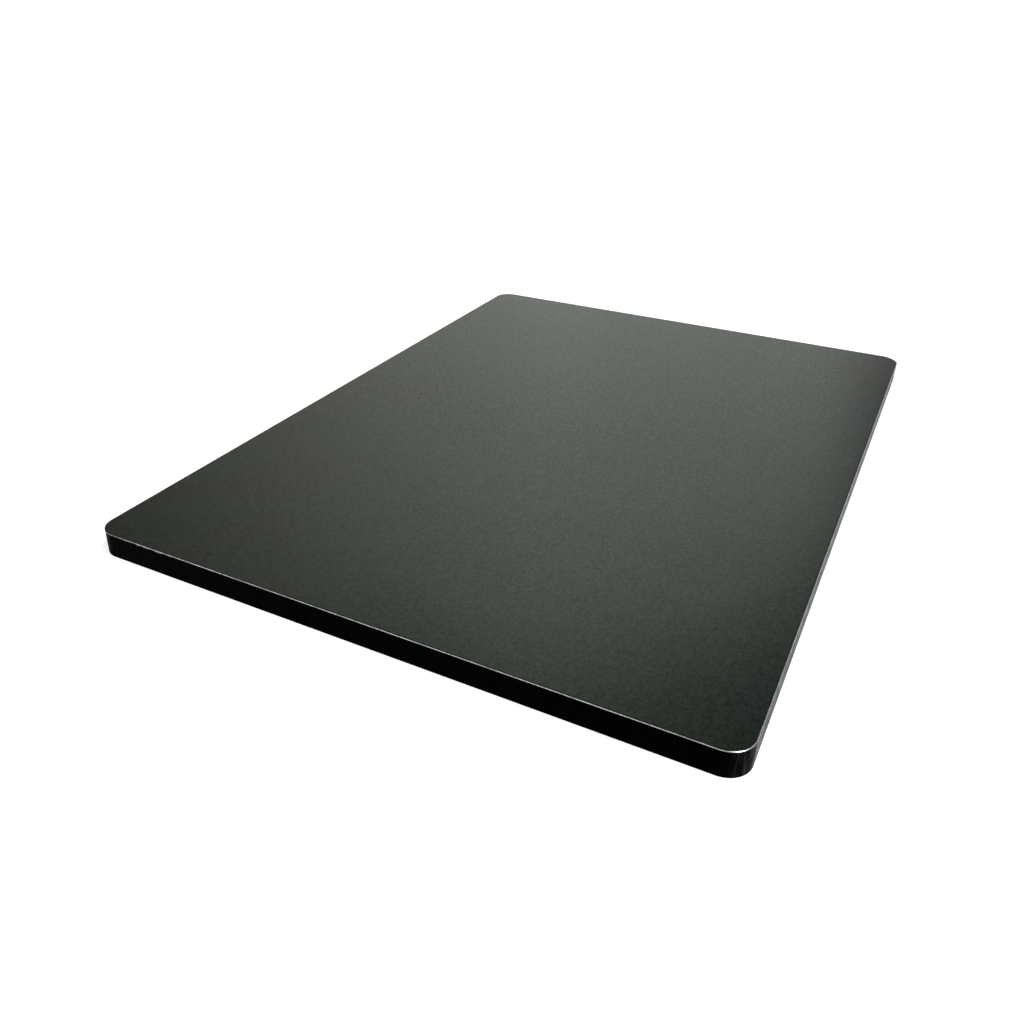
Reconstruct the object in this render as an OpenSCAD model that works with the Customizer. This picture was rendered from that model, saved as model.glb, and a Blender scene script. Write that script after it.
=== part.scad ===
// Aluminium composite panel: one routed blank of sandwich sheet, lying on its back face.
// Two thin aluminium skins are bonded, flush all round, to a solid polyethylene core.
// Sizes are in millimetres. The origin is the middle of the back face, with +Z up.

/* [Panel outline] */
// Width of the panel, along X
panel_w = 100; // [40:1:300]
// Length of the panel, along Y
panel_l = 140; // [40:1:400]
// Radius of the four routed corners, seen from above
corner_r = 3.5; // [1:0.5:18]

/* [Front skin] */
// Thickness of the coil-coated aluminium skin on the front
front_skin_t = 0.25; // [0.2:0.05:0.5]
// Height of the break filed off the front skin's cut outer edge
front_break_h = 0.1; // [0.04:0.01:0.15]
// Depth of that break, measured in from the cut edge
front_break_d = 0.12; // [0.04:0.01:0.3]

/* [Core] */
// Thickness of the solid polyethylene core
core_t = 3.5; // [1.5:0.1:5.5]

/* [Back skin] */
// Thickness of the plain aluminium skin on the back
back_skin_t = 0.25; // [0.2:0.05:0.5]
// Height of the break filed off the back skin's cut outer edge
back_break_h = 0.06; // [0.04:0.01:0.15]
// Depth of that break, measured in from the cut edge
back_break_d = 0.06; // [0.04:0.01:0.3]

/* [Hidden] */
$fn = 96;

// Level of the bond between the back skin and the core
core_z = back_skin_t;
// Level of the bond between the core and the front skin
front_z = core_z + core_t;
// Places of the four corners' centres, half of the straight stretches each way
corner_x = panel_w / 2 - corner_r;
corner_y = panel_l / 2 - corner_r;

coated_black = [0.12, 0.13, 0.12];
polyethylene_black = [0.03, 0.03, 0.03];
mill_aluminium = [0.72, 0.73, 0.74];

// The panel's outline seen from above, with its four routed corners
module outline() {
    square([panel_w, 2 * corner_y], center = true);
    square([2 * corner_x, panel_l], center = true);
    for (x = [-corner_x, corner_x], y = [-corner_y, corner_y])
        translate([x, y])
            circle(r = corner_r);
}

// A layer of the sandwich: the whole outline, t thick, from level z up
module layer(z, t) {
    translate([0, 0, z])
        linear_extrude(height = t)
            outline();
}

// Section of a strip w wide and h high whose two top edges lean in by d
module strip_section(w, h, d) {
    polygon([[-w / 2, 0], [w / 2, 0], [w / 2 - d, h], [d - w / 2, h]]);
}

// A slab with the panel's outline, h high, whose sides all round lean in by d at the top
module leaning_slab(h, d) {
    rotate([90, 0, 90])
        linear_extrude(height = 2 * corner_x, center = true)
            strip_section(panel_l, h, d);
    rotate([90, 0, 0])
        linear_extrude(height = 2 * corner_y, center = true)
            strip_section(panel_w, h, d);
    for (x = [-corner_x, corner_x], y = [-corner_y, corner_y])
        translate([x, y, 0])
            cylinder(r1 = corner_r, r2 = corner_r - d, h = h);
}

// A skin t thick on level 0, its upper cut edge broken all round by h high and d deep
module skin(t, h, d) {
    layer(0, t - h);
    translate([0, 0, t - h])
        leaning_slab(h, d);
}

module front_skin() {
    color(coated_black)
        translate([0, 0, front_z])
            skin(front_skin_t, front_break_h, front_break_d);
}

module core() {
    color(polyethylene_black)
        layer(core_z, core_t);
}

// The same skin turned over, so that its broken edge is the lower one
module back_skin() {
    color(mill_aluminium)
        translate([0, 0, core_z])
            mirror([0, 0, 1])
                skin(back_skin_t, back_break_h, back_break_d);
}

front_skin();
core();
back_skin();
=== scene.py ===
import math
import random

import bmesh
import bpy
from mathutils import Euler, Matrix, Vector


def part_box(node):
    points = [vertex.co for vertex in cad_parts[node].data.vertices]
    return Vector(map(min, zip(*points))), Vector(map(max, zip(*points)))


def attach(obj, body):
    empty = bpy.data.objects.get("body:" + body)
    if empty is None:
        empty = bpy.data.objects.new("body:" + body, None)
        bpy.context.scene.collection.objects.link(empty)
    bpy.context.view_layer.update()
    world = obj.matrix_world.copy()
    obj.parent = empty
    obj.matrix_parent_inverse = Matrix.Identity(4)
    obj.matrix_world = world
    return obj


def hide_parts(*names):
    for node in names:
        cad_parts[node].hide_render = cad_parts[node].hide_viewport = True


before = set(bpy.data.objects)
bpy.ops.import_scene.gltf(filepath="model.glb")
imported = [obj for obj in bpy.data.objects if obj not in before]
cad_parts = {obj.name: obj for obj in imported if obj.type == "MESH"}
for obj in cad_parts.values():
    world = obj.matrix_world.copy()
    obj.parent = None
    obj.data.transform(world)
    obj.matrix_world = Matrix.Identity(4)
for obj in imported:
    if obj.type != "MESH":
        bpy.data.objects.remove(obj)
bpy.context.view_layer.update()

# The panel's sizes, in metres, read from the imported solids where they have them.
SKIN_LO, SKIN_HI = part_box("front_skin")
CORE_LO, CORE_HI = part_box("core")
BACK_LO, BACK_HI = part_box("back_skin")
HALF_W = SKIN_HI.x
HALF_L = SKIN_HI.y
CORNER_R = 0.0035

# The burr break on the cut edge of each skin: its height and its depth.
FRONT_BREAK_H, FRONT_BREAK_D = 0.00010, 0.00012
BACK_BREAK_H, BACK_BREAK_D = 0.00006, 0.00006
# How many strips a break is made of, and how far its two corners are eased, from 0 to 1.
FRONT_BREAK_STRIPS, BACK_BREAK_STRIPS = 6, 4
BREAK_EASE = 0.3

# The file took more off the two corners on the right and less off the two on the left:
# how much deeper and lower the break is in the middle of each, as shares of its depth and height.
RIGHT_DEEPER, RIGHT_LOWER = 1.0, 0.35
LEFT_DEEPER, LEFT_LOWER = -0.6, -0.6
# A corner's share grows with how far a point lies past the arc's centre both ways: the smaller of
# the two, in radii, times this gain and up to 1, raised to this power.
CORNER_GAIN, CORNER_POWER = 2.2, 1.5
# How much deeper the break becomes along the right edge, from this Y to the edge's near end.
RIGHT_SIDE_DEEPER, RIGHT_SIDE_FROM = 0.6, 0.02
# The power of the outward direction with which that extra fades round the corner.
RIGHT_SIDE_FADE = 4

# The skin's face rolls down a little towards its cut edge: how far in it starts, how much it drops,
# and the power with which the drop grows towards the edge.
ROLL_IN, ROLL_DROP, ROLL_POWER = 0.00036, 0.000030, 3
# Where the rings of the roll lie, as shares of the way from the break to the roll's start.
ROLL_RINGS = (0.05, 0.14, 0.26, 0.42, 0.65, 1.0)

# The core's side is made of this many strips, one on the other.
CORE_STRIPS = 4
# How finely the outline is divided: a column for each of these lengths, and this many on each arc.
COLUMN = 0.00025
ARC_COLUMNS = 40
# Faces that meet at more than this angle meet at a hard corner.
HARD_ANGLE = math.radians(40)

rng = random.Random(41)


# Shapes

def outline():
    """The outline's points with their outward normals and their length along it, and its whole length."""
    cx, cy = HALF_W - CORNER_R, HALF_L - CORNER_R
    corners = [(cx, -cy, -90), (cx, cy, 0), (-cx, cy, 90), (-cx, -cy, 180)]
    out = []
    run = 0.0
    for k, (x, y, start) in enumerate(corners):
        centre = Vector((x, y))
        for i in range(ARC_COLUMNS):
            turned = 90 * i / ARC_COLUMNS
            a = math.radians(start + turned)
            n = Vector((math.cos(a), math.sin(a)))
            out.append((centre + n * CORNER_R, n, run + CORNER_R * math.radians(turned)))
        run += CORNER_R * math.pi / 2
        nx, ny, _ = corners[(k + 1) % 4]
        a = math.radians(start + 90)
        n = Vector((math.cos(a), math.sin(a)))
        first = centre + n * CORNER_R
        last = Vector((nx, ny)) + n * CORNER_R
        length = (last - first).length
        count = round(length / COLUMN)
        for i in range(count):
            out.append((first.lerp(last, i / count), n, run + length * i / count))
        run += length
    return out, run


OUTLINE, PERIMETER = outline()


def wave_set(pitches, heights):
    """Sines of whole turns round the outline, so that the last column meets the first."""
    out = []
    for pitch, height in zip(pitches, heights):
        turns = max(1, round(PERIMETER / pitch))
        out.append((2 * math.pi * turns / PERIMETER, height, rng.uniform(0, 2 * math.pi)))
    return out


def wave(waves, s):
    """How high a set of sines stands at the length s along the outline."""
    return sum(h * math.sin(k * s + p) for k, h, p in waves)


def slab(name, rings, material, node):
    """A closed slab with the panel's outline, which replaces a node.
    rings lists (inset, z) functions of a column's number and its length along the outline."""
    me = bpy.data.meshes.new(name)
    bm = bmesh.new()
    rows = []
    for inset, z in rings:
        row = []
        for i, (p, n, s) in enumerate(OUTLINE):
            q = p - n * inset(i, s)
            row.append(bm.verts.new((q.x, q.y, z(i, s))))
        rows.append(row)
    count = len(OUTLINE)
    for low, high in zip(rows, rows[1:]):
        for i in range(count):
            j = (i + 1) % count
            f = bm.faces.new((low[i], low[j], high[j], high[i]))
            f.smooth = True
    bm.faces.new(list(reversed(rows[0]))).smooth = False
    bm.faces.new(rows[-1]).smooth = False
    bm.normal_update()
    for edge in bm.edges:
        edge.smooth = edge.calc_face_angle() < HARD_ANGLE
    bm.to_mesh(me)
    bm.free()
    ob = bpy.data.objects.new(name, me)
    bpy.context.scene.collection.objects.link(ob)
    me.materials.append(material)
    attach(ob, "root")
    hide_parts(node)
    return ob


# Materials

# Filed aluminium, the darker metal of the cut faces and plain aluminium, each from its dull places to its
# bright ones.
FILED_DULL, FILED_BRIGHT = (0.22, 0.22, 0.22, 1), (0.62, 0.62, 0.63, 1)
CUT_METAL_DULL, CUT_METAL_BRIGHT = (0.07, 0.07, 0.07, 1), (0.22, 0.22, 0.22, 1)
SHEET_DULL, SHEET_BRIGHT = (0.50, 0.50, 0.51, 1), (0.74, 0.75, 0.76, 1)
# The clear coat on the back: how much of it there is and how rough it is.
SERVICE_COAT, SERVICE_ROUGH = 0.25, 0.25

# The milled polyethylene is nearly black seen square on and shines only at a glancing angle.
CORE_IOR = 1.032
CORE_DARK, CORE_PALE = (0.0001, 0.0001, 0.0001, 1), (0.0010, 0.0011, 0.0010, 1)
# How much deeper the cutter marks are on the corners, as a share of their depth.
CORNER_MARKS = 5.0
# The colour of the painted glints along the cutter marks round the corners, strongest towards the long
# sides.
PAINTED_GLINT_COLOUR = (0.036, 0.037, 0.034, 1)
# The share of a corner's radius, in from the long side, over which the painted glints grow.
PAINTED_GLINT_REACH = 0.7

# The cut face of the front skin shows more bare metal and less of its core-black towards the left:
# from this X on, and how much more it shows at the left end.
BARE_METAL_FROM, BARE_METAL_SHARE = -0.005, 0.25
# How much more bare metal the back skin's cut face shows, all round.
BACK_BARE_METAL = 0.05

# The coating, dark and pale, each in its cooler and its warmer tint.
PAINT_DARK_COOL, PAINT_DARK_WARM = (0.0017, 0.0046, 0.0031, 1), (0.0034, 0.0039, 0.0019, 1)
PAINT_PALE_COOL, PAINT_PALE_WARM = (0.0072, 0.0130, 0.0100, 1), (0.0100, 0.0123, 0.0083, 1)
PAINT_IOR = 1.5
DUST_COLOUR = (0.16, 0.16, 0.15, 1)
# The coating's grain is drawn out a little along the sheet's rolling direction, which is Y.
COIL_STRETCH = 0.6
# The coating shines unevenly, in fine grains: the most that its clear top adds, and that top's roughness.
GLOSS_GRAIN, GLOSS_ROUGH = 0.40, 0.25
# How much the coating's roughness differs between its palest and its darkest speckles, and how much
# rougher its dull spots are.
SPECKLE_ROUGH, DULL_SPOT_ROUGH = 0.06, 0.22

# How far the paint reaches out over the break's inner edge, and by how much less where it is ragged.
PAINT_OVER, PAINT_RAGGED = 0.00009, 0.00006
# How much further in the paint ends on the right corners and on the left ones, as shares. On the left
# it reaches over the break instead.
RIGHT_CORNER_BARE, LEFT_CORNER_BARE = 1.6, -1.2
# The one share gives way to the other over this far to each side of the panel's middle.
SIDES_MEET = 0.01
# How much further in it ends at the right edge's near end, as a share, and how far in from that edge
# this begins and is full.
NEAR_SIDE_BARE = 1.4
NEAR_SIDE_FROM, NEAR_SIDE_FULL = 0.0006, 0.0001
# The share of the bare metal's usual depth that is left at the left edge, and how far in from that
# edge the share lasts and the usual depth is back.
LEFT_END_BARE = 0.3
LEFT_END_LASTS, LEFT_END_OVER = 0.002, 0.012
# Half of the height over which the dark cut face gives way to the filed break.
FOOT_SOFT = 0.00003


class Nodes:
    """A short way to write a material's node tree."""

    def __init__(self, tree):
        self.tree = tree
        tree.nodes.clear()

    def add(self, kind, **settings):
        n = self.tree.nodes.new(kind)
        for k, v in settings.items():
            setattr(n, k, v)
        return n

    def link(self, a, b):
        self.tree.links.new(a, b)

    def put(self, socket, value):
        """Links a socket to another one, or sets it to a plain value."""
        if isinstance(value, bpy.types.NodeSocket):
            self.link(value, socket)
        else:
            socket.default_value = value

    def math(self, op, a, b=0.0, c=None, clamp=False):
        n = self.add("ShaderNodeMath", operation=op, use_clamp=clamp)
        self.put(n.inputs[0], a)
        self.put(n.inputs[1], b)
        if c is not None:
            self.put(n.inputs[2], c)
        return n.outputs[0]

    def product(self, a, b):
        return self.math("MULTIPLY", a, b)

    def weighted(self, *parts):
        """The sum of values, each times its weight."""
        value, weight = parts[-1]
        total = self.product(value, weight)
        for value, weight in reversed(parts[:-1]):
            total = self.math("MULTIPLY_ADD", value, weight, total)
        return total

    def vec(self, op, a, b=None):
        n = self.add("ShaderNodeVectorMath", operation=op)
        self.put(n.inputs[0], a)
        if b is not None:
            self.put(n.inputs[1], b)
        return n.outputs["Value"] if op == "LENGTH" else n.outputs[0]

    def xyz(self, vector):
        """A vector's three parts."""
        n = self.add("ShaderNodeSeparateXYZ")
        self.link(vector, n.inputs[0])
        return n.outputs[0], n.outputs[1], n.outputs[2]

    def ramp(self, value, low, high, out_low=0.0, out_high=1.0, smooth=True):
        """A step from out_low, where the value is at low, to out_high, where it is at high.
        It is soft at both ends, or straight."""
        n = self.add("ShaderNodeMapRange", interpolation_type="SMOOTHSTEP" if smooth else "LINEAR")
        self.put(n.inputs["Value"], value)
        for socket, v in (("From Min", low), ("From Max", high), ("To Min", out_low), ("To Max", out_high)):
            self.put(n.inputs[socket], v)
        return n.outputs[0]

    def noise(self, vector, per_metre, detail=2.0, rough=0.5):
        n = self.add("ShaderNodeTexNoise")
        self.link(vector, n.inputs["Vector"])
        n.inputs["Scale"].default_value = per_metre
        n.inputs["Detail"].default_value = detail
        n.inputs["Roughness"].default_value = rough
        return n.outputs["Fac"]

    def stretch(self, vector, x=1.0, y=1.0, z=1.0):
        return self.vec("MULTIPLY", vector, (x, y, z))

    def mix(self, factor, a, b):
        """The colour a where factor is 0 and b where it is 1."""
        n = self.add("ShaderNodeMix", data_type="RGBA")
        self.put(n.inputs["Factor"], factor)
        self.put(n.inputs[6], a)
        self.put(n.inputs[7], b)
        return n.outputs[2]

    def blend(self, factor, a, b):
        """The shader a where factor is 0 and b where it is 1."""
        n = self.add("ShaderNodeMixShader")
        self.put(n.inputs[0], factor)
        self.put(n.inputs[1], a)
        self.put(n.inputs[2], b)
        return n.outputs[0]

    def bump(self, height, distance, strength, over=None):
        """The normal of a relief, laid over another one's normal if that is given."""
        n = self.add("ShaderNodeBump")
        self.put(n.inputs["Height"], height)
        n.inputs["Distance"].default_value = distance
        n.inputs["Strength"].default_value = strength
        if over is not None:
            self.link(over, n.inputs["Normal"])
        return n.outputs[0]

    def principled(self, colour, rough, normal):
        n = self.add("ShaderNodeBsdfPrincipled")
        self.link(colour, n.inputs["Base Color"])
        self.link(rough, n.inputs["Roughness"])
        self.link(normal, n.inputs["Normal"])
        return n


def material(name):
    """A new material, its nodes and the input of its output node that takes the shader."""
    m = bpy.data.materials.new(name)
    m.use_nodes = True
    t = Nodes(m.node_tree)
    out = t.add("ShaderNodeOutputMaterial")
    return m, t, out.inputs[0]


def place(t):
    """Where a point of the object is, in metres from its origin."""
    return t.add("ShaderNodeTexCoord").outputs["Object"]


def past_corner_centre(t, at):
    """How far a point lies out past the corners' centres, along X and along Y."""
    return t.vec("SUBTRACT", t.vec("ABSOLUTE", at), (HALF_W - CORNER_R, HALF_L - CORNER_R, 0.0))


def inset_from_edge(t, at):
    """How far in from the panel's cut edge a point is, in metres."""
    q = past_corner_centre(t, t.stretch(at, z=0.0))
    out = t.vec("LENGTH", t.vec("MAXIMUM", q, (0.0, 0.0, 0.0)))
    x, y, _ = t.xyz(q)
    inner = t.math("MINIMUM", t.math("MAXIMUM", x, y), 0.0)
    return t.math("SUBTRACT", CORNER_R, t.math("ADD", out, inner))


def corner_share_node(t, at):
    """1 in the middle of each of the four corners, 0 outside its arc."""
    x, y, _ = t.xyz(t.vec("MAXIMUM", past_corner_centre(t, at), (0.0, 0.0, 0.0)))
    least = t.product(t.math("MINIMUM", x, y), CORNER_GAIN / CORNER_R)
    return t.math("POWER", t.math("MINIMUM", least, 1.0), CORNER_POWER)


def long_side_share(t, at):
    """0 where a corner meets a short side, 1 where it meets a long one."""
    x, _, _ = t.xyz(t.vec("ABSOLUTE", at))
    return t.ramp(x, HALF_W - PAINTED_GLINT_REACH * CORNER_R, HALF_W)


def near_side_share(t, at):
    """How far the right edge is filed back beyond the rest: 0 at its middle, 1 at its near end."""
    x, y, _ = t.xyz(at)
    by_edge = t.ramp(x, HALF_W - NEAR_SIDE_FROM, HALF_W - NEAR_SIDE_FULL)
    return t.product(by_edge, t.ramp(y, RIGHT_SIDE_FROM, -HALF_L, smooth=False))


def sparse_dots(t, at, per_metre, radius, rarity):
    """A mask of a few soft round dots, strewn at random; rarity is the share of places left empty."""
    v = t.add("ShaderNodeTexVoronoi", feature="F1")
    t.link(at, v.inputs["Vector"])
    v.inputs["Scale"].default_value = per_metre
    reach = radius * per_metre
    near = t.ramp(v.outputs["Distance"], reach / 2, reach, out_low=1.0, out_high=0.0)
    pick = t.add("ShaderNodeSeparateColor")
    t.link(v.outputs["Color"], pick.inputs[0])
    return t.product(near, t.math("GREATER_THAN", pick.outputs[0], rarity))


def bare_aluminium(t, at, dull, bright, rough_low, rough_high):
    """Sawn and filed aluminium: fine marks along the cut, dull and bright places."""
    blotch = t.noise(at, per_metre=900.0, detail=3.0, rough=0.6)
    fine = t.noise(t.stretch(at, z=0.35), per_metre=7000.0, rough=0.6)
    tone = t.ramp(t.weighted((fine, 0.55), (blotch, 0.45)), low=0.35, high=0.65)
    rough = t.ramp(blotch, low=0.3, high=0.7, out_low=rough_high, out_high=rough_low)
    scratches = t.noise(t.stretch(at, z=0.25), per_metre=9000.0, rough=0.6)
    normal = t.bump(scratches, distance=0.000008, strength=0.5)
    b = t.principled(t.mix(tone, dull, bright), rough, normal)
    b.inputs["Metallic"].default_value = 1.0
    return b


def milled_core(t, at):
    """Solid black polyethylene, milled: upright cutter marks, and painted glints along them round the
    corners.
    """
    streak = t.noise(t.stretch(at, z=0.10), per_metre=5200.0, detail=3.0, rough=0.65)
    broad = t.noise(t.stretch(at, z=0.1), per_metre=900.0)
    fleck = t.noise(at, per_metre=5200.0, rough=0.6)
    patch = t.noise(at, per_metre=420.0)
    tone = t.weighted((streak, 0.5), (broad, 0.3), (fleck, 0.2))
    colour = t.mix(t.ramp(tone, low=0.42, high=0.66), CORE_DARK, CORE_PALE)
    # Pale streaks round the corners: a painted glint, light caught on the cutter marks painted into the
    # colour.
    glint_streaks = t.noise(t.stretch(at, z=0.07), per_metre=3800.0, detail=3.0, rough=0.7)
    on_corner = corner_share_node(t, at)
    painted_glint = t.product(t.product(on_corner, long_side_share(t, at)), t.ramp(glint_streaks, low=0.46, high=0.62))
    colour = t.mix(painted_glint, colour, PAINTED_GLINT_COLOUR)
    wear = t.weighted((streak, 0.5), (patch, 0.5))
    rough = t.ramp(wear, low=0.35, high=0.65, out_low=0.10, out_high=0.28)
    marks = t.product(streak, t.math("MULTIPLY_ADD", on_corner, CORNER_MARKS, 1.0))
    normal = t.bump(fleck, distance=0.00003, strength=0.4)
    normal = t.bump(broad, distance=0.0001, strength=0.25, over=normal)
    normal = t.bump(marks, distance=0.0001, strength=0.45, over=normal)
    b = t.principled(colour, rough, normal)
    b.inputs["IOR"].default_value = CORE_IOR
    return b


def dark_cut_face(t, at, metal_share):
    """The cut face of a skin: mostly as black as the core, with patches of metal far darker than plain
    aluminium.
    Its last argument is how much of the metal is left bare, 0 or a little more."""
    patch = t.noise(at, per_metre=700.0, detail=3.0, rough=0.6)
    bare = t.ramp(t.math("ADD", patch, metal_share), low=0.68, high=0.76)
    cut_metal = bare_aluminium(t, at, CUT_METAL_DULL, CUT_METAL_BRIGHT, rough_low=0.35, rough_high=0.50)
    return t.blend(bare, milled_core(t, at).outputs[0], cut_metal.outputs[0])


def satin_paint(t, at):
    """Satin charcoal coating: fine grain, soft clouding, faint orange peel and a few specks."""
    along = t.stretch(at, y=COIL_STRETCH)
    cloud = t.noise(at, per_metre=28.0, detail=3.0)
    grain = t.noise(along, per_metre=2300.0, detail=3.0, rough=0.65)
    speckle = t.noise(along, per_metre=800.0, rough=0.6)
    tone = t.weighted((cloud, 0.15), (grain, 0.62), (speckle, 0.23))
    warmth = t.ramp(t.noise(at, per_metre=75.0, detail=3.0, rough=0.55), low=0.35, high=0.65)
    dark = t.mix(warmth, PAINT_DARK_COOL, PAINT_DARK_WARM)
    pale = t.mix(warmth, PAINT_PALE_COOL, PAINT_PALE_WARM)
    colour = t.mix(t.ramp(tone, low=0.40, high=0.60), dark, pale)
    dust = sparse_dots(t, at, per_metre=95.0, radius=0.00011, rarity=0.95)
    colour = t.mix(dust, colour, DUST_COLOUR)

    uneven = t.noise(at, per_metre=45.0, detail=3.0)
    rough = t.ramp(uneven, low=0.3, high=0.7, out_low=0.238, out_high=0.252)
    rough = t.math("MULTIPLY_ADD", t.math("SUBTRACT", speckle, 0.5), SPECKLE_ROUGH, rough)
    dull_spots = sparse_dots(t, at, per_metre=70.0, radius=0.00024, rarity=0.90)
    rough = t.math("MULTIPLY_ADD", dull_spots, DULL_SPOT_ROUGH, rough)
    shine = t.noise(along, per_metre=3600.0, detail=3.0, rough=0.65)

    ripple = t.noise(at, per_metre=160.0)
    peel = t.noise(along, per_metre=1000.0, rough=0.55)
    leather = t.noise(along, per_metre=2100.0, rough=0.6)
    normal = t.bump(ripple, distance=0.00012, strength=0.06)
    normal = t.bump(peel, distance=0.000014, strength=0.4, over=normal)
    normal = t.bump(leather, distance=0.000012, strength=0.6, over=normal)
    paint = t.principled(colour, rough, normal)
    paint.inputs["IOR"].default_value = PAINT_IOR
    t.link(t.ramp(shine, low=0.35, high=0.65, out_high=GLOSS_GRAIN), paint.inputs["Coat Weight"])
    paint.inputs["Coat Roughness"].default_value = GLOSS_ROUGH
    return paint


def coated_front():
    """The coating on the face, filed metal on the break and a dark cut face below it."""
    m, t, out = material("coil_coating")
    at = place(t)
    x, _, z = t.xyz(at)
    left_end = t.ramp(x, LEFT_END_LASTS - HALF_W, LEFT_END_OVER - HALF_W, out_low=LEFT_END_BARE)
    metal_share = t.product(t.ramp(x, BARE_METAL_FROM, -HALF_W, out_high=BARE_METAL_SHARE), left_end)
    filed = bare_aluminium(t, at, FILED_DULL, FILED_BRIGHT, rough_low=0.20, rough_high=0.32)
    foot = SKIN_HI.z - FRONT_BREAK_H
    on_break = t.ramp(z, foot - FOOT_SOFT, foot + FOOT_SOFT)
    metal = t.blend(on_break, dark_cut_face(t, at, metal_share), filed.outputs[0])

    ragged = t.noise(at, per_metre=2400.0, detail=3.0, rough=0.6)
    start = t.math("MULTIPLY_ADD", ragged, PAINT_RAGGED, FRONT_BREAK_D - PAINT_OVER)
    bare = t.ramp(x, -SIDES_MEET, SIDES_MEET, out_low=LEFT_CORNER_BARE, out_high=RIGHT_CORNER_BARE)
    start = t.product(start, t.math("MULTIPLY_ADD", corner_share_node(t, at), bare, 1.0))
    start = t.product(start, t.math("MULTIPLY_ADD", near_side_share(t, at), NEAR_SIDE_BARE, 1.0))
    start = t.product(start, left_end)
    painted = t.math("GREATER_THAN", inset_from_edge(t, at), start)
    t.link(t.blend(painted, metal, satin_paint(t, at).outputs[0]), out)
    return m


def plain_back():
    """Mill aluminium under a clear service coat, with a dark cut face."""
    m, t, out = material("mill_aluminium")
    at = place(t)
    sheet = bare_aluminium(t, at, SHEET_DULL, SHEET_BRIGHT, rough_low=0.32, rough_high=0.46)
    sheet.inputs["Coat Weight"].default_value = SERVICE_COAT
    sheet.inputs["Coat Roughness"].default_value = SERVICE_ROUGH
    _, _, up = t.xyz(t.add("ShaderNodeNewGeometry").outputs["True Normal"])
    under = t.ramp(t.product(up, -1.0), low=0.15, high=0.3)
    t.link(t.blend(under, dark_cut_face(t, at, BACK_BARE_METAL), sheet.outputs[0]), out)
    return m


def black_core():
    m, t, out = material("polyethylene")
    t.link(milled_core(t, place(t)).outputs[0], out)
    return m


FRONT = coated_front()
BACK = plain_back()
CORE = black_core()


# Pieces

# Upright cutter marks left in the core's edge, cut inwards only: their pitches and their depths.
TOOL_MARKS = wave_set((0.0011, 0.0017, 0.0031, 0.0009), (3e-6, 3e-6, 4e-6, 2e-6))
MARK_FLOOR = sum(h for _, h, _ in TOOL_MARKS)
# The filed break wanders a little in depth round the panel: the pitches and the depths of that.
FILE_WAVES = wave_set((0.0023, 0.0041, 0.0095, 0.021), (6e-6, 8e-6, 8e-6, 6e-6))


def fixed(v):
    """The same value v in every column."""
    return lambda i, s: v


def build_core():
    def inset(i, s):
        return MARK_FLOOR + wave(TOOL_MARKS, s)

    thickness = CORE_HI.z - CORE_LO.z
    rings = []
    for k in range(CORE_STRIPS + 1):
        rings.append((inset, fixed(CORE_LO.z + thickness * k / CORE_STRIPS)))
    return slab("core_edge", rings, CORE, node="core")


def eased_break(depth, height, strips):
    """(inset, rise) along a filed edge: a chamfer with its two corners eased."""
    out = []
    for k in range(strips + 1):
        a = math.pi / 2 * k / strips
        round_in, round_up = depth * (1 - math.cos(a)), height * math.sin(a)
        flat_in, flat_up = depth * k / strips, height * k / strips
        inset = BREAK_EASE * round_in + (1 - BREAK_EASE) * flat_in
        rise = BREAK_EASE * round_up + (1 - BREAK_EASE) * flat_up
        out.append((inset, rise))
    return out


def corner_share(i):
    """1 in the middle of a corner, falling to 0 at the end of its arc."""
    p = OUTLINE[i][0]
    over_x = max(0.0, abs(p.x) - (HALF_W - CORNER_R)) / CORNER_R
    over_y = max(0.0, abs(p.y) - (HALF_L - CORNER_R)) / CORNER_R
    return min(1.0, CORNER_GAIN * min(over_x, over_y)) ** CORNER_POWER


def near_side(i):
    """0 at the middle of the right edge and on the other edges, 1 at the right edge's near end."""
    p, n, _ = OUTLINE[i]
    along = (RIGHT_SIDE_FROM - p.y) / (RIGHT_SIDE_FROM + HALF_L)
    return max(0.0, n.x) ** RIGHT_SIDE_FADE * min(1.0, max(0.0, along))


def rolled(inset):
    """How far the face lies below the panel's top this far in from its edge."""
    return ROLL_DROP * max(0.0, 1 - inset / ROLL_IN) ** ROLL_POWER


def break_depth(i, s):
    """How far in the front's filed break reaches in a column."""
    deeper = RIGHT_DEEPER if OUTLINE[i][0].x > 0 else LEFT_DEEPER
    side = RIGHT_SIDE_DEEPER * near_side(i)
    return (FRONT_BREAK_D + wave(FILE_WAVES, s)) * (1 + deeper * corner_share(i) + side)


def break_foot(i):
    """The level at which the front's filed break starts in a column."""
    lower = RIGHT_LOWER if OUTLINE[i][0].x > 0 else LEFT_LOWER
    return SKIN_HI.z - FRONT_BREAK_H - lower * FRONT_BREAK_H * corner_share(i)


def break_top(i, s):
    """The level at which that break ends in a column."""
    return SKIN_HI.z - rolled(break_depth(i, s))


def break_ring(inset, rise):
    """A ring on the front's break, at these shares of its depth and its height."""
    def level(i, s):
        return break_foot(i) + rise * (break_top(i, s) - break_foot(i))

    return lambda i, s: inset * break_depth(i, s), level


def roll_ring(share):
    """A ring on the face, at this share of the way from the break to where the roll starts."""
    def inset(i, s):
        depth = break_depth(i, s)
        return depth + share * (ROLL_IN - depth)

    return inset, lambda i, s: SKIN_HI.z - rolled(inset(i, s))


def build_front():
    rings = [(fixed(0.0), fixed(SKIN_LO.z)), (fixed(0.0), lambda i, s: (SKIN_LO.z + break_foot(i)) / 2)]
    rings += [break_ring(inset, rise) for inset, rise in eased_break(1.0, 1.0, FRONT_BREAK_STRIPS)]
    rings += [roll_ring(share) for share in ROLL_RINGS]
    return slab("front_skin_sheet", rings, FRONT, node="front_skin")


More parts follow.
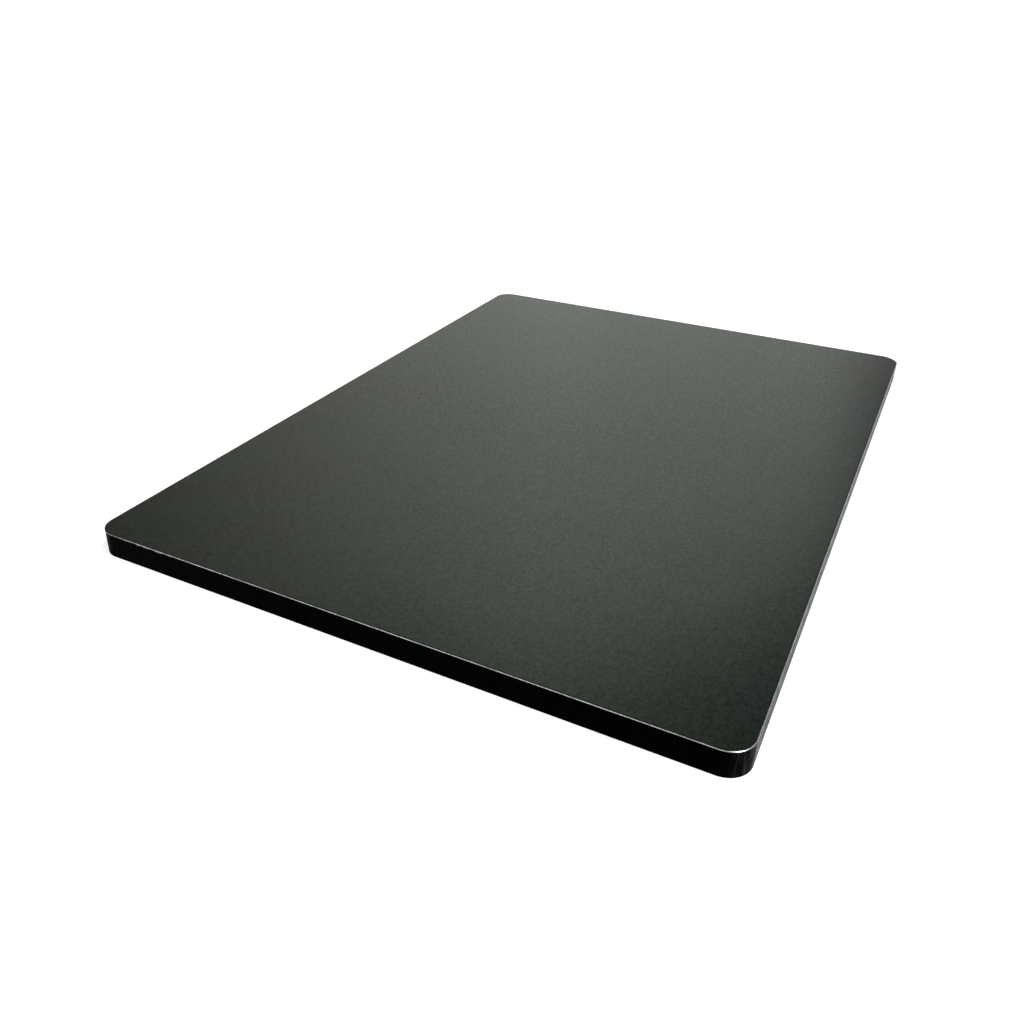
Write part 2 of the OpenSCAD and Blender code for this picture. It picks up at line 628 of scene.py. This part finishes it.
def build_back():
    edge = BACK_LO.z + BACK_BREAK_H
    rings = []
    for inset, drop in reversed(eased_break(BACK_BREAK_D, BACK_BREAK_H, BACK_BREAK_STRIPS)):
        rings.append((fixed(inset), fixed(edge - drop)))
    rings.append((fixed(0.0), fixed(BACK_HI.z)))
    return slab("back_skin_sheet", rings, BACK, node="back_skin")


build_core()
build_front()
build_back()


# Floor

# How strongly the paper shines white where it is seen, besides the light that falls on it.
FLOOR_LIFT = 0.40
FLOOR_SIZE = 24.0
FLOOR_DARK, FLOOR_PALE = (0.79, 0.79, 0.79, 1), (0.81, 0.81, 0.81, 1)
# The floor lies this far below the panel, so that the two don't touch.
FLOOR_GAP = 0.00002


def floor_material():
    """A plain white studio floor: lit paper with enough of its own white to be seen as white."""
    m, t, out = material("studio_floor")
    tone = t.ramp(t.noise(place(t), per_metre=3.0), low=0.3, high=0.7)
    paper = t.add("ShaderNodeBsdfDiffuse")
    t.link(t.mix(tone, FLOOR_DARK, FLOOR_PALE), paper.inputs["Color"])
    glow = t.add("ShaderNodeEmission")
    glow.inputs["Color"].default_value = (1, 1, 1, 1)
    ray = t.add("ShaderNodeLightPath")
    seen = t.math("ADD", ray.outputs["Is Camera Ray"], ray.outputs["Is Glossy Ray"])
    seen = t.math("ADD", seen, ray.outputs["Is Transmission Ray"], clamp=True)
    t.link(t.product(seen, FLOOR_LIFT), glow.inputs["Strength"])
    both = t.add("ShaderNodeAddShader")
    t.link(paper.outputs[0], both.inputs[0])
    t.link(glow.outputs[0], both.inputs[1])
    t.link(both.outputs[0], out)
    return m


def build_floor():
    me = bpy.data.meshes.new("studio_floor")
    bm = bmesh.new()
    bmesh.ops.create_grid(bm, x_segments=8, y_segments=8, size=FLOOR_SIZE / 2)
    bm.to_mesh(me)
    bm.free()
    floor = bpy.data.objects.new("studio_floor", me)
    bpy.context.scene.collection.objects.link(floor)
    floor.location = (0.0, 0.0, -FLOOR_GAP)
    me.materials.append(floor_material())


build_floor()


# Light

# The broad soft window behind the panel, as bearings from +Y towards +X and heights, in degrees.
# Each side has a bearing at the horizon, a lean in degrees for each degree of height, and a softness.
WINDOW_LEFT, WINDOW_LEFT_LEAN, WINDOW_SOFT_LEFT = -37.5, -0.16, 21.0
WINDOW_RIGHT, WINDOW_RIGHT_LEAN, WINDOW_SOFT_RIGHT = -7.0, 0.16, 1.5
# Above this height the right side bends to the left, by this much times the square of the height over it.
WINDOW_BEND_FROM, WINDOW_BEND = 28.0, 0.118
WINDOW_TOP, WINDOW_TOP_SOFT = 41.7, 1.0
# The window's top is lower on its left: by how much, and over which bearings it steps down.
TOP_LOWER, TOP_STEP_FROM, TOP_STEP_TO = 4.2, -25.0, -31.5
# Its level at its middle height, that height, and what the level gains for each degree above it.
WINDOW_LEVEL, WINDOW_MIDDLE, WINDOW_RISE = 0.82, 25.0, 0.0248
# Soft brighter and darker spots on the window: bearing, height, radius and what each adds.
SPOTS = ((-22.5, 20.8, 5.0, 0.24), (-10.5, 18.6, 6.0, -0.12))
# Its colour low down, high up and towards its left side, and where each gives way to the next.
COLOUR_LOW, COLOUR_HIGH, COLOUR_LEFT = (0.95, 1.0, 0.93, 1), (0.87, 1.0, 0.88, 1), (1.0, 0.98, 0.68, 1)
COLOUR_LOW_TO, COLOUR_HIGH_FROM = 18.0, 36.0
COLOUR_LEFT_FULL, COLOUR_LEFT_FROM = -54.0, -24.0
# Dark cards stand on both sides of the window and over it, from a little above the horizon.
CARDS_LEFT, CARDS_RIGHT, CARDS_SOFT = -100.0, 22.0, 6.0
CARDS_LEVEL = 0.02
CARDS_FROM, CARDS_FULL = 10.0, 16.0
# The rest of the studio is white near the floor and pale above it.
PALE_LEVEL = 0.55
WHITE_TO, PALE_FROM = 8.0, 30.0


def window_shape(t, bearing, height):
    """1 on the window and 0 off it, with soft sides."""
    left = t.math("MULTIPLY_ADD", height, WINDOW_LEFT_LEAN, WINDOW_LEFT)
    over = t.math("MAXIMUM", t.math("SUBTRACT", height, WINDOW_BEND_FROM), 0.0)
    bend = t.product(t.product(over, over), WINDOW_BEND)
    right = t.math("SUBTRACT", t.math("MULTIPLY_ADD", height, WINDOW_RIGHT_LEAN, WINDOW_RIGHT), bend)
    from_left = t.ramp(t.math("SUBTRACT", bearing, left), -WINDOW_SOFT_LEFT, WINDOW_SOFT_LEFT)
    from_right = t.ramp(t.math("SUBTRACT", right, bearing), -WINDOW_SOFT_RIGHT, WINDOW_SOFT_RIGHT)
    step = t.ramp(bearing, TOP_STEP_TO, TOP_STEP_FROM, out_low=TOP_LOWER, out_high=0.0)
    lowered = t.math("ADD", height, step)
    top_from, top_to = WINDOW_TOP - WINDOW_TOP_SOFT, WINDOW_TOP + WINDOW_TOP_SOFT
    under_top = t.ramp(lowered, top_from, top_to, out_low=1.0, out_high=0.0)
    return t.product(t.product(from_left, from_right), under_top)


def window_glow(t, bearing, height):
    """How bright the window is, with its spots."""
    above_middle = t.math("SUBTRACT", height, WINDOW_MIDDLE)
    glow = t.math("MULTIPLY_ADD", above_middle, WINDOW_RISE, WINDOW_LEVEL)
    for spot_bearing, spot_height, radius, level in SPOTS:
        aside = t.math("SUBTRACT", bearing, spot_bearing)
        above = t.math("SUBTRACT", height, spot_height)
        off = t.math("SQRT", t.math("MULTIPLY_ADD", aside, aside, t.product(above, above)))
        glow = t.math("ADD", glow, t.ramp(off, 0.0, radius, out_low=level, out_high=0.0))
    return glow


def window_tint(t, bearing, height):
    tint = t.mix(t.ramp(height, COLOUR_LOW_TO, COLOUR_HIGH_FROM), COLOUR_LOW, COLOUR_HIGH)
    on_left = t.ramp(bearing, COLOUR_LEFT_FULL, COLOUR_LEFT_FROM, out_low=1.0, out_high=0.0)
    return t.mix(on_left, tint, COLOUR_LEFT)


def studio_world():
    """A pale studio with a broad soft window behind the panel, between dark cards."""
    w = bpy.data.worlds.new("studio")
    bpy.context.scene.world = w
    w.use_nodes = True
    t = Nodes(w.node_tree)
    out = t.add("ShaderNodeOutputWorld")
    x, y, z = t.xyz(t.add("ShaderNodeTexCoord").outputs["Generated"])
    height = t.product(t.math("ARCSINE", z), math.degrees(1.0))
    bearing = t.product(t.math("ARCTAN2", x, y), math.degrees(1.0))
    window = window_shape(t, bearing, height)

    card_left = t.ramp(bearing, CARDS_LEFT - CARDS_SOFT, CARDS_LEFT + CARDS_SOFT)
    right_from, right_to = CARDS_RIGHT - CARDS_SOFT, CARDS_RIGHT + CARDS_SOFT
    card_right = t.ramp(bearing, right_from, right_to, out_low=1.0, out_high=0.0)
    over_foot = t.ramp(height, CARDS_FROM, CARDS_FULL)
    cards = t.product(t.product(card_left, card_right), over_foot)

    pale = t.ramp(height, WHITE_TO, PALE_FROM, out_low=1.0, out_high=PALE_LEVEL)
    grey = t.math("MULTIPLY_ADD", cards, t.math("SUBTRACT", CARDS_LEVEL, pale), pale)
    lit = t.product(window, window_glow(t, bearing, height))
    tinted = t.product(window, over_foot)
    b = t.add("ShaderNodeBackground")
    t.link(t.mix(tinted, (1, 1, 1, 1), window_tint(t, bearing, height)), b.inputs["Color"])
    t.link(t.math("MAXIMUM", grey, lit), b.inputs["Strength"])
    t.link(b.outputs[0], out.inputs[0])


def lamp(name, bearing, height, spread, level):
    """A large soft lamp far off: its bearing from +Y towards +X, its height and spread in degrees."""
    data = bpy.data.lights.new(name, "SUN")
    data.angle = math.radians(spread)
    data.energy = level
    ob = bpy.data.objects.new(name, data)
    bpy.context.scene.collection.objects.link(ob)
    a, e = math.radians(bearing), math.radians(height)
    to_lamp = Vector((math.sin(a) * math.cos(e), math.cos(a) * math.cos(e), math.sin(e)))
    ob.rotation_euler = to_lamp.to_track_quat("Z", "Y").to_euler()


studio_world()
lamp("key", bearing=84.0, height=62.0, spread=18.0, level=1.3)
lamp("fill", bearing=-140.0, height=50.0, spread=100.0, level=1.3)


# Camera

# The photo's view: the camera's place in metres, its angles in degrees, its lens and sensor
# in millimetres, and its shift, to the side and down by the same share of the frame.
CAMERA_AT = (0.05800, -0.15107, 0.07916)
CAMERA_ANGLES = (61.8476, -0.6658, 27.9045)
CAMERA_LENS = 32.880
CAMERA_SENSOR = 36.0
CAMERA_SHIFT = 0.03467
CAMERA_SEES_FROM, CAMERA_SEES_TO = 0.005, 60.0

data = bpy.data.cameras.new("photo_view")
data.lens = CAMERA_LENS
data.sensor_width = CAMERA_SENSOR
data.shift_x = CAMERA_SHIFT
data.shift_y = -CAMERA_SHIFT
data.clip_start = CAMERA_SEES_FROM
data.clip_end = CAMERA_SEES_TO
camera = bpy.data.objects.new("photo_view", data)
bpy.context.scene.collection.objects.link(camera)
camera.location = CAMERA_AT
camera.rotation_euler = Euler([math.radians(a) for a in CAMERA_ANGLES])
bpy.context.scene.camera = camera

bpy.context.scene.view_settings.view_transform = "Standard"
